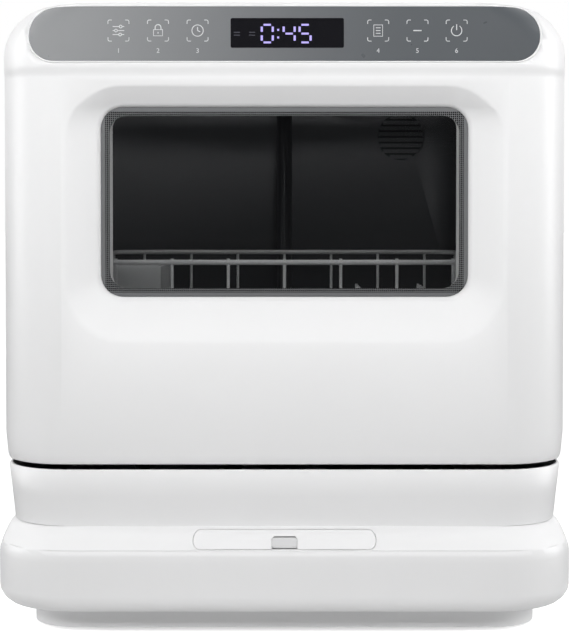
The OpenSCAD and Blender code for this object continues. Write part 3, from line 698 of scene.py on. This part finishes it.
@dataclass(frozen=True)
class DishProfile:
    """Straight-sided dish around the window, with a small round at each end of its slope."""

    depth: float = 0.016
    half_x: float = 0.1631
    low_z: float = 0.2139
    high_z: float = 0.4071
    window_x: float = 0.133
    jamb: float = 0.006
    widen: float = 0.0033
    drop: float = 0.0022
    brow_z: float = 0.363
    brow_run: float = 0.03
    rim: float = 0.10
    foot: float = 0.07

    @property
    def slope(self) -> float:
        """Steepness of the straight part."""
        return 1 / (1 - self.rim / 2 - self.foot / 2)

    def fall(self, u: float) -> float:
        """Profile of the dish.

        Args:
            u: Share of the way in from the rim.

        Returns:
            Share of the depth reached there.
        """
        if u < self.rim:
            return u * u / (2 * self.rim) * self.slope
        if u > 1 - self.foot:
            return 1 - (1 - u) ** 2 / (2 * self.foot) * self.slope
        return (u - self.rim / 2) * self.slope

    def spread(self, x: float, share: float) -> float:
        """Move x outwards by the window's share of the widening."""
        return x + math.copysign(self.widen * min(1.0, abs(x) / self.window_x), x) * share

    def window(self, obj: Obj) -> None:
        """Widen a piece that fills the window."""
        for v in obj.data.vertices:
            v.co.x = self.spread(v.co.x, 1.0)

    def shell(self, obj: Obj) -> None:
        """Move the door's dish and its window's edges onto this profile.

        Args:
            obj: The door's front.
        """
        back = DOOR_Y + self.depth
        for v in obj.data.vertices:
            x, y, z = v.co
            if not (abs(x) < self.half_x and self.low_z < z < self.high_z):
                continue
            if DOOR_Y + TOUCH < y < back - TOUCH:
                u = math.acos(1 - 2 * (y - DOOR_Y) / self.depth) / math.pi
                v.co.x = self.spread(x, u)
                v.co.y = DOOR_Y + self.depth * self.fall(u)
                if z > WINDOW_HIGH:
                    v.co.z = z - self.drop * (1 - u)
            elif back - TOUCH <= y < back + self.jamb and abs(x) < self.window_x + MM:
                v.co.x = self.spread(x, 1.0)
            elif abs(y - DOOR_Y) < TOUCH and z > self.brow_z:
                v.co.z = z - self.drop * min(1.0, (z - self.brow_z) / self.brow_run)


@dataclass(frozen=True)
class LowerRoll:
    """Tighter round along the door's lower front edge, and the body's edge below it."""

    axis_z: float = 0.1336
    radius: float = 0.007
    power: float = 5.0
    tuck: float = 0.006
    tuck_z: float = 0.146
    tuck_run: float = 0.067
    slack: float = 0.0004
    margins: Pair = (0.0005, 0.00005)
    lower: float = 0.0020
    lower_run: float = 0.0124
    slot_x: float = 0.175
    slot_y: float = -0.1885
    body_z: float = 0.1205
    body_y: float = -0.1410
    body_cuts: Pair = (-0.1400, -0.1415)

    def sink(self, obj: Obj) -> None:
        """Let the door reach a little further down, but not behind the hinges' slots.

        Args:
            obj: The door's front.
        """
        for v in obj.data.vertices:
            if v.co.z < self.tuck_z and (abs(v.co.x) > self.slot_x or v.co.y < self.slot_y):
                v.co.z -= self.lower * min(1.0, (self.tuck_z - v.co.z) / self.lower_run)

    def seat(self, obj: Obj) -> None:
        """Lower the body's edge in front of the cabinet to keep the gap as it is.

        Args:
            obj: The lower body.
        """
        cut(obj, (0, 1, 0), self.body_cuts)
        for v in obj.data.vertices:
            if v.co.z > self.body_z and v.co.y < self.body_y:
                v.co.z -= self.lower

    def shell(self, obj: Obj) -> None:
        """Move the vertices of the lower roll outwards.

        Args:
            obj: The door's front.
        """
        for v in obj.data.vertices:
            x, y, z = v.co
            down = self.axis_z - z
            if not self.margins[0] < down < self.radius - self.margins[1]:
                continue
            inset = self.radius - math.sqrt(self.radius ** 2 - down ** 2)
            tuck = self.tuck * (self.tuck_z - z) / self.tuck_run
            cx = DOOR_HALF_X - tuck - DOOR_CORNER_R
            cy = DOOR_Y + tuck + DOOR_CORNER_R
            past = (max(0.0, abs(x) - cx), max(0.0, cy - y))
            reach = math.hypot(*past)
            if abs(reach - (DOOR_CORNER_R - inset)) > self.slack:
                continue
            s, c = down / self.radius, 1 - inset / self.radius
            r = self.radius / (s ** self.power + c ** self.power) ** (1 / self.power)
            out = inset - (self.radius - r * c)
            v.co.x = x + math.copysign(past[0] / reach * out, x)
            v.co.y = y - past[1] / reach * out
            v.co.z = self.axis_z - r * s


def door_form(obj: Obj) -> None:
    """Give the door its dish and its lower edge.

    Args:
        obj: The door's front.
    """
    DishProfile().shell(obj)
    LowerRoll().shell(obj)
    LowerRoll().sink(obj)


@dataclass(frozen=True)
class CreaseGroove:
    """Fine groove along the crease below the base's shoulder."""

    height: float = 0.065
    half: float = 0.0005
    depth: float = 0.0009
    half_size: float = 0.215
    skin: float = 0.2125
    corner: float = 0.395

    def reshape(self, obj: Obj) -> None:
        """Cut two edges beside the crease and push the crease itself in.

        Args:
            obj: The base.
        """
        cut(obj, (0, 0, 1), (self.height - self.half, self.height + self.half))
        shrink = 1 - self.depth / self.half_size
        for v in obj.data.vertices:
            x, y, z = v.co
            outer = abs(x) > self.skin or y < -self.skin or abs(x) + abs(y) > self.corner
            if abs(z - self.height) < TOUCH and outer:
                v.co.x, v.co.y = x * shrink, y * shrink


@dataclass
class Library:
    """Every finish, made once."""

    made: dict[str, bpy.types.Material] = field(default_factory=dict)

    def get(self, slot: str) -> bpy.types.Material:
        """Return the material of a slot."""
        return self.extra(FINISH_OF[slot])

    def extra(self, finish: Finish) -> bpy.types.Material:
        """Return a finish's material, made at its first use.

        Args:
            finish: The finish.

        Returns:
            Its material.
        """
        if finish.name not in self.made:
            self.made[finish.name] = finish.make()
        return self.made[finish.name]

    def add(self, obj: Obj, slot: str, body: str) -> None:
        """Dress a new piece in its slot's finish and let it ride on a body.

        Args:
            obj: The piece.
            slot: The slot that its finish belongs to.
            body: The body that it moves with.
        """
        dress(obj, self.get(slot))
        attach(obj, body)
        log.info("%s: %d faces", obj.name, len(obj.data.polygons))


@dataclass(frozen=True)
class Skin:
    """Merged, smooth-shaded copy of one CAD node that is seen close up.

    Edges flatter than angle are shaded smooth. Faces that differ by less than flat become one,
    and 0 keeps all. even weighs the normals by face area, for large flats beside small
    roundings. shape moves the merged copy's vertices before the rest.
    """

    node: str
    angle: float = 32.0
    flat: float = 0.4
    even: bool = False
    shape: Callable[[Obj], None] | None = None
    merge: float = 0.000002

    def copy(self) -> Obj:
        """Copy the node where it stands, without its parent.

        Returns:
            The copy, with its place applied to its mesh.
        """
        active(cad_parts[self.node])
        bpy.ops.object.duplicate()
        copy = bpy.context.view_layer.objects.active
        copy.name = f"{self.node}_skin"
        matrix = copy.matrix_world.copy()
        copy.parent = None
        copy.matrix_world = matrix
        settle(copy)
        return copy

    def build(self) -> Obj:
        """Make the copy.

        Returns:
            The copy, in the row frame.
        """
        copy = self.copy()
        with editing(copy):
            bpy.ops.mesh.select_all(action="SELECT")
            bpy.ops.mesh.remove_doubles(threshold=self.merge)
        if self.shape:
            self.shape(copy)
        if self.flat:
            with editing(copy):  # works on the whole mesh, or on a cut's edges after a cut
                bpy.ops.mesh.dissolve_limited(angle_limit=math.radians(self.flat))
        bpy.ops.object.shade_smooth_by_angle(angle=math.radians(self.angle))
        if self.even:
            weigh = copy.modifiers.new("even", "WEIGHTED_NORMAL")
            weigh.keep_sharp = True
            bpy.ops.object.modifier_apply(modifier=weigh.name)
        return copy


@dataclass
class Casing:
    """All CAD pieces, as close-up copies or with their finish alone."""

    library: Library
    skins: tuple[Skin, ...] = (
        Skin("door_shell", shape=door_form),
        Skin("base_tray", angle=24.0, shape=CreaseGroove().reshape),
        Skin("lower_body", flat=0.0, shape=LowerRoll().seat),
        Skin("cabinet_wrap"),
        Skin("control_panel", flat=0.0),
        *map(Skin, ("filler_drawer", "lower_arm", "upper_arm", "rack_frame", "rack_tines")),
        Skin("door_liner", angle=20.0, even=True),
        Skin("tub_collar", even=True),
        *map(Skin, ("tub", "rubber_feet", "base_skirt", "inlet_valve", "drain_elbow", "power_gland",
                    "panel_screws", "filter_cup", "heater", "riser_pipe", "sump")),
        Skin("window_border", shape=DishProfile().window),
        Skin("window_glass", shape=DishProfile().window),
        Skin("inner_glass"),
        Skin("cutlery_basket", angle=12.0, even=True),
        Skin("detergent_cup", angle=20.0, even=True),
    )

    def build(self) -> None:
        """Make the copies, set them in the frame and paint every other node."""
        for skin in self.skins:
            obj = skin.build()
            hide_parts(skin.node)
            self.library.add(obj, SLOT_OF[skin.node], BODY_OF.get(skin.node, "machine"))
        copied = {skin.node for skin in self.skins}
        for node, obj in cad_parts.items():
            if node not in copied:
                dress(obj, self.library.get(SLOT_OF[node]))
                log.info("%s: painted %s", node, SLOT_OF[node])


@dataclass
class PanelPrint:
    """Icons, brackets and numerals on the control panel.

    Icons are drawn in millimetres about the middle of their touch field, cx.
    """

    library: Library
    proud: float = 0.0001
    line: float = 0.0007
    half: float = 0.00765
    tick: float = 0.0028
    corner: float = 0.0012
    icon_z: float = 0.4433
    label_z: float = 0.4286
    label_h: float = 0.00476
    centres: tuple[float, ...] = (-0.1209, -0.0921, -0.0633, 0.0682, 0.0968, 0.1253)
    bracket_wide: float = 0.8
    dash_wide: float = 1.3
    ink: Moulding = Moulding("print_pale", (0.62, 0.63, 0.64))

    def line_of(self, name: str, dots: list[Pair], cx: float, closed: bool = False,
                wide: float = 1.0) -> Obj:
        """A printed line.

        Args:
            name: The line's name.
            dots: Its points, in millimetres.
            cx: The middle of its touch field.
            closed: Whether the last point joins the first.
            wide: Factor on the usual line's width.

        Returns:
            The line as a mesh object.
        """
        points = [(cx + x * MM, PANEL_Y, self.icon_z + z * MM) for x, z in dots]
        return stroke(name, points, self.line * wide, closed)

    def brackets(self, cx: float) -> list[Obj]:
        """Four rounded corners around one touch field.

        Args:
            cx: The field's middle.

        Returns:
            The corners.
        """
        h, t, r = self.half / MM, self.tick / MM, self.corner / MM
        made = []
        for i, (sx, sz) in enumerate(((1, 1), (-1, 1), (-1, -1), (1, -1))):
            bend = [(sx * x, sz * z) for x, z in arc(r, 0, 90, h - r, h - r, 4)]
            dots = [(sx * h, sz * (h - t)), *bend, (sx * (h - t), sz * h)]
            made.append(self.line_of(f"bracket_{i}", dots, cx, wide=self.bracket_wide))
        return made

    def sliders(self, cx: float) -> list[Obj]:
        """Three lines with knobs at different places.

        Args:
            cx: The field's middle.

        Returns:
            The lines and knobs.
        """
        made = []
        for i, (z, knob) in enumerate(((2.9, 1.6), (0.0, -1.8), (-2.9, 1.2))):
            made.append(self.line_of(f"slide_{i}a", [(-4.2, z), (knob - 1.0, z)], cx))
            made.append(self.line_of(f"slide_{i}b", [(knob + 1.0, z), (4.2, z)], cx))
            made.append(self.line_of(f"slide_{i}c", arc(1.0, 0, 345, knob, z), cx, True))
        return made

    def padlock(self, cx: float) -> list[Obj]:
        """A closed padlock.

        Args:
            cx: The field's middle.

        Returns:
            Its lines.
        """
        body = [(-3.3, -3.8), (3.3, -3.8), (3.3, 0.7), (-3.3, 0.7)]
        shackle = [(-2.1, 0.7), (-2.1, 2.2), *arc(2.1, 180, 0, 0, 2.2), (2.1, 0.7)]
        return [self.line_of("lock_body", body, cx, True), self.line_of("lock_bow", shackle, cx),
                self.line_of("lock_key", [(0, -1.0), (0, -2.2)], cx)]

    def clock(self, cx: float) -> list[Obj]:
        """A round dial with two hands."""
        return [self.line_of("dial", arc(4.1, 0, 351, n=39), cx, True),
                self.line_of("hands", [(0, 2.6), (0, 0), (1.9, -0.9)], cx)]

    def sheet(self, cx: float) -> list[Obj]:
        """A page with three lines."""
        page = [(-3.2, -4.1), (3.2, -4.1), (3.2, 4.1), (-3.2, 4.1)]
        return [self.line_of("page", page, cx, True)] + [
            self.line_of(f"row_{i}", [(-1.7, z), (1.7, z)], cx) for i, z in enumerate((2.0, 0.0, -2.0))]

    def dash(self, cx: float) -> list[Obj]:
        """A short level bar."""
        return [self.line_of("bar", [(-3.0, 0.0), (3.0, 0.0)], cx, wide=self.dash_wide)]

    def power(self, cx: float) -> list[Obj]:
        """An open ring with a stem."""
        return [self.line_of("ring", arc(3.8, 122, 418, n=36), cx),
                self.line_of("stem", [(0, 4.6), (0, 0.4)], cx)]

    def numeral(self, text: str, x: float) -> Obj:
        """A flat numeral, turned to face the front.

        Args:
            text: The digits.
            x: The middle of its touch field.

        Returns:
            The numeral as a mesh.
        """
        bpy.ops.object.text_add(location=(0, 0, 0))
        obj = bpy.context.view_layer.objects.active
        obj.data.body = text
        obj.data.size = self.label_h
        obj.data.align_x = "CENTER"
        obj.data.align_y = "CENTER"
        obj.data.extrude = MM / 2
        active(obj)
        bpy.ops.object.convert(target="MESH")
        obj = bpy.context.view_layer.objects.active
        obj.name = f"touch_number_{text}"
        obj.location = (x, PANEL_Y, self.label_z)
        obj.rotation_euler = (math.radians(90), 0, 0)
        settle(obj)
        return obj

    def build(self) -> None:
        """Print the touch fields and their numerals."""
        icons = (self.sliders, self.padlock, self.clock, self.sheet, self.dash, self.power)
        for number, (cx, icon) in enumerate(zip(self.centres, icons), start=1):
            marks = join(f"touch_field_{number}", self.brackets(cx) + icon(cx))
            for obj in (marks, self.numeral(str(number), cx)):
                flatten_to(obj, PANEL_Y, self.proud)
                self.library.add(obj, "panel_grey", "door")
                dress(obj, self.library.extra(self.ink))


@dataclass
class Display:
    """The black window in the panel, with its lit digits and its unlit bars."""

    library: Library
    middle: Pair = (0.002, 0.4416)
    size: Pair = (0.0825, 0.0216)
    round_r: float = 0.0012
    blank: float = 0.0001
    glass: float = 0.00006
    print_depth: float = 0.00008
    digits: tuple[tuple[str, float], ...] = (("0", -0.01255), ("4", 0.0034), ("5", 0.0150))
    digit_z: float = 0.4411
    digit_size: Pair = (0.0080, 0.0128)
    bar: float = 0.0016
    trim: float = 0.0013
    colon_x: float = -0.0046
    colon_z: Pair = (0.4383, 0.4438)
    colon_size: float = 0.0014
    unlit: tuple[Pair, ...] = (
        (-0.0369, 0.4400), (-0.0259, 0.4400), (-0.0369, 0.4420), (-0.0259, 0.4420))
    unlit_long: float = 0.0045
    unlit_wide: float = 0.0009
    glow: LitDigits = LitDigits("digit_glow", (0.46, 0.39, 0.90), 1.15)
    dim: Moulding = Moulding("segment_dim", (0.055, 0.055, 0.07))

    def window(self) -> None:
        """The black glass with its rounded corners."""
        (x, z), (wide, high) = self.middle, self.size
        window = block("display_window", (x - wide / 2, PANEL_Y - self.blank, z - high / 2),
                       (x + wide / 2, PANEL_Y + self.blank, z + high / 2))
        with editing(window):
            bpy.ops.mesh.select_all(action="DESELECT")
        for edge in window.data.edges:
            a, b = (window.data.vertices[i].co for i in edge.vertices)
            edge.select = abs(a.y - b.y) > TOUCH
        with editing(window):
            bpy.ops.mesh.bevel(offset=self.round_r, segments=4, affect="EDGES")
        flatten_to(window, PANEL_Y, self.glass)
        self.library.add(window, "display_black", "door")

    def segments(self, digit: str, cx: float) -> list[Obj]:
        """Bars of one seven-segment digit.

        Args:
            digit: Which digit.
            cx: Its centre.

        Returns:
            The lit bars.
        """
        w, h = self.digit_size[0] / 2, self.digit_size[1] / 2
        ends = {"a": ((-w, h), (w, h)), "b": ((w, h), (w, 0)), "c": ((w, 0), (w, -h)),
                "d": ((-w, -h), (w, -h)), "e": ((-w, 0), (-w, -h)), "f": ((-w, h), (-w, 0)),
                "g": ((-w, 0), (w, 0))}
        made = []
        for key in {"0": "abcdef", "4": "fgbc", "5": "afgcd"}[digit]:
            (x0, z0), (x1, z1) = ends[key]
            dx, dz = (x1 - x0), (z1 - z0)
            share = self.trim / math.hypot(dx, dz)
            ux, uz = dx * share, dz * share
            made.append(stroke(f"seg_{key}", [(cx + x0 + ux, PANEL_Y, self.digit_z + z0 + uz),
                                              (cx + x1 - ux, PANEL_Y, self.digit_z + z1 - uz)],
                               self.bar))
        return made

    def dot(self, z: float) -> Obj:
        """One square dot of the colon, at height z."""
        middle, half = (self.colon_x, PANEL_Y, z), self.colon_size / 2
        return block("dot", tuple(v - half for v in middle), tuple(v + half for v in middle))

    def show(self, name: str, bars: list[Obj], finish: Finish) -> None:
        """Join bars and lay them on the window.

        Args:
            name: The joined piece's name.
            bars: The bars.
            finish: Their finish.
        """
        piece = join(name, bars)
        flatten_to(piece, PANEL_Y - self.glass, self.print_depth)
        self.library.add(piece, "display_black", "door")
        dress(piece, self.library.extra(finish))

    def build(self) -> None:
        """Set the window and its bars in the frame."""
        self.window()
        lit = [bar for digit, cx in self.digits for bar in self.segments(digit, cx)]
        self.show("display_digits", lit + [self.dot(z) for z in self.colon_z], self.glow)
        marks = [stroke(f"unlit_{i}", [(x, PANEL_Y, z), (x + self.unlit_long, PANEL_Y, z)],
                        self.unlit_wide) for i, (x, z) in enumerate(self.unlit)]
        self.show("display_unlit", marks, self.dim)


@dataclass
class PanelRim:
    """The fine bright bead around the panel, on the surface that the door's outline gives."""

    library: Library
    half_x: float = 0.18795
    low: float = 0.42055
    high: float = 0.46145
    r: float = 0.0199
    step: float = 0.004
    bead: float = 0.0015
    proud: float = 0.00005
    top_r: float = 0.037

    def surface(self, x: float, z: float) -> float:
        """Depth of the panel's surface.

        Args:
            x: Place across the panel.
            z: Height.

        Returns:
            The surface's y.
        """
        down = DOOR_TOP - z
        inset = 0.0
        if down < self.top_r:
            inset = self.top_r - math.sqrt(self.top_r ** 2 - (self.top_r - down) ** 2)
        past = max(0.0, abs(x) - (DOOR_HALF_X - inset - DOOR_CORNER_R))
        return PANEL_Y + DOOR_CORNER_R - math.sqrt(max(0.0, DOOR_CORNER_R ** 2 - past ** 2))

    def outline(self) -> list[Pair]:
        """Round the corners and add points on the long straights, to follow the surface.

        Returns:
            The bead's points, seen from the front.
        """
        r, x = self.r, self.half_x - self.r
        low, high = self.low + r, self.high - r
        dots = [dot for cx, cz, start in ((x, high, 0), (-x, high, 90), (-x, low, 180), (x, low, 270))
                for dot in arc(r, start, start + 90, cx, cz, 18)]
        made = []
        for (x0, z0), (x1, z1) in zip(dots, dots[1:] + dots[:1]):
            n = max(1, round(abs(x1 - x0) / self.step))
            made += [(x0 + (x1 - x0) * i / n, z0 + (z1 - z0) * i / n) for i in range(n)]
        return made

    def build(self) -> None:
        """Make the bead and set it in the frame."""
        points = [(x, self.surface(x, z) - self.proud, z) for x, z in self.outline()]
        bead = stroke("panel_rim", points, self.bead, True)
        bpy.ops.object.shade_smooth()
        self.library.add(bead, "casing_white", "door")


@dataclass
class SmallPieces:
    """Pieces that the solids leave plain."""

    library: Library
    notch_half: float = 0.0091
    notch_low: float = 0.0662
    notch_high: float = 0.0737
    notch_y: float = -0.2080
    notch_wall: float = 0.0015
    duct_x: float = 0.110
    duct_z: float = 0.380
    duct_y: float = 0.1490
    duct_r: float = 0.0215
    slats: int = 8
    slat_half: float = 0.0017
    slat_thick: float = 0.001

    def build(self) -> None:
        """Make them and set them in the frame."""
        self.notch()
        self.grille()

    def notch(self) -> None:
        """The back wall of the finger notch."""
        wall = block("notch_wall", (-self.notch_half, self.notch_y, self.notch_low),
                     (self.notch_half, self.notch_y + self.notch_wall, self.notch_high))
        self.library.add(wall, "casing_white", "water_drawer")

    def grille(self) -> None:
        """Louvres across the air outlet in the tub's back."""
        made = []
        for i in range(self.slats):
            up = self.duct_r * (2 * (i + 0.5) / self.slats - 1)
            half, z = math.sqrt(self.duct_r ** 2 - up ** 2), self.duct_z + up
            made.append(block(f"slat_{i}", (self.duct_x - half, self.duct_y, z - self.slat_half),
                              (self.duct_x + half, self.duct_y + self.slat_thick, z + self.slat_half)))
        # the louvres take the tub's steel, darkened as painted shade
        self.library.add(join("duct_grille", made), "tub_steel", "machine")


# ----------------------------------------------------------------------- studio
@dataclass(frozen=True)
class Softbox:
    """One area light aimed at a point."""

    name: str
    at: Point
    wide: float
    high: float
    watts: float
    towards: Point = (0.0, 0.0, 0.24)
    mirrored: bool = True

    def build(self) -> None:
        """Add the light."""
        data = bpy.data.lights.new(self.name, "AREA")
        data.shape = "RECTANGLE"
        data.size, data.size_y, data.energy = self.wide, self.high, self.watts
        obj = bpy.data.objects.new(self.name, data)
        bpy.context.collection.objects.link(obj)
        obj.location = self.at
        aim = Vector(self.towards) - Vector(self.at)
        obj.rotation_euler = aim.to_track_quat("-Z", "Y").to_euler()
        obj.visible_glossy = self.mirrored


@dataclass(frozen=True)
class Studio:
    """White floor and background, soft lights and the camera.

    The floor's ramps run over a rounded square about the object: each is where it starts
    and where it ends, in metres from the middle.
    """

    distance: float = 1.18
    eye_z: float = 0.319
    pitch: float = 1.5
    lens: float = 91.9
    sensor: float = 36.0
    shift_y: float = -0.115
    clip: Pair = (0.05, 60.0)
    floor_size: float = 30.0
    floor_near: Colour = (0.80, 0.80, 0.80)
    floor_far: Colour = (0.22, 0.22, 0.22)
    floor_darkens: Pair = (0.235, 0.31)
    floor_whitens: Pair = (0.190, 0.222)
    floor_glow: float = 0.65
    floor_rough: float = 0.9
    ambient: float = 0.68
    ambient_front: float = 0.07
    ambient_turns: Pair = (-0.5, 0.35)
    lights: tuple[Softbox, ...] = (
        Softbox("key_front", (0.0, -0.85, 0.60), 2.2, 0.3, 11.3, mirrored=False),
        Softbox("side_left", (-1.8, -0.10, 0.5), 0.9, 1.6, 12.7),
        Softbox("side_right", (1.8, -0.05, 0.5), 0.8, 1.6, 15.6),
        Softbox("wash_space", (0.0, -0.118, 0.432), 0.26, 0.02, 0.15, (0.0, 0.0, 0.20)),
        Softbox("top", (0.0, 0.45, 1.9), 2.2, 1.0, 2.5),
    )

    def build(self) -> None:
        """Set the whole studio up."""
        self.floor()
        self.world()
        for light in self.lights:
            light.build()
        self.camera()
        bpy.context.scene.view_settings.view_transform = "Standard"

    def floor(self) -> None:
        """A large floor, lifted to white for the camera alone where no shadow falls."""
        bpy.ops.mesh.primitive_plane_add(size=self.floor_size, location=(0, 0, 0))
        plane = bpy.context.view_layer.objects.active
        plane.name = "studio_floor"
        s = Shader("studio_floor")
        x, y, _ = s.axes()
        away = (x * x * x * x + y * y * y * y).root().root()
        s.feed("Base Color", s.blend(away.ramp(*self.floor_darkens), self.floor_near, self.floor_far))
        s.feed("Roughness", self.floor_rough)
        glow = away.ramp(*self.floor_whitens) * (1.0 - self.floor_glow) + self.floor_glow
        s.feed("Emission Color", s.blend(s.ray("Camera") * glow, (0.0, 0.0, 0.0), (1.0, 1.0, 1.0)))
        s.feed("Emission Strength", 1.0)
        dress(plane, s.material)

    def world(self) -> None:
        """White for the camera and through glass; for the rest, grey that darkens in front."""
        world = bpy.data.worlds.new("studio")
        bpy.context.scene.world = world
        world.use_nodes = True
        g = Graph(world.node_tree)
        towards_y = g.node("ShaderNodeSeparateXYZ", {}, {
            0: g.node("ShaderNodeTexCoord", {}, {}, "Generated")}, "Y")
        behind = g.ray("Glossy") * (1.0 - self.ambient) + self.ambient
        around = towards_y.ramp(*self.ambient_turns, self.ambient_front, behind)
        white = g.ray("Camera").most(g.ray("Transmission"))
        background = g.tree.nodes["Background"]
        g.set(background.inputs["Color"], (1.0, 1.0, 1.0, 1.0))
        g.set(background.inputs["Strength"],
              g.node("ShaderNodeMix", {}, {"Factor": white, "A": around, "B": 1.0}))

    def camera(self) -> None:
        """A long lens, low in front, shifted to keep the uprights parallel."""
        data = bpy.data.cameras.new("view")
        data.lens, data.sensor_width, data.shift_y = self.lens, self.sensor, self.shift_y
        data.clip_start, data.clip_end = self.clip
        obj = bpy.data.objects.new("view", data)
        bpy.context.collection.objects.link(obj)
        obj.location = (0.0, PANEL_Y - self.distance, self.eye_z)
        obj.rotation_euler = (math.radians(90 - self.pitch), 0.0, 0.0)
        bpy.context.scene.camera = obj


def main() -> None:
    """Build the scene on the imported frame."""
    logging.basicConfig(level=logging.INFO, format="%(message)s")
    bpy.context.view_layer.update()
    library = Library()
    Casing(library).build()
    PanelPrint(library).build()
    Display(library).build()
    PanelRim(library).build()
    SmallPieces(library).build()
    Studio().build()


if __name__ == "__main__":
    main()
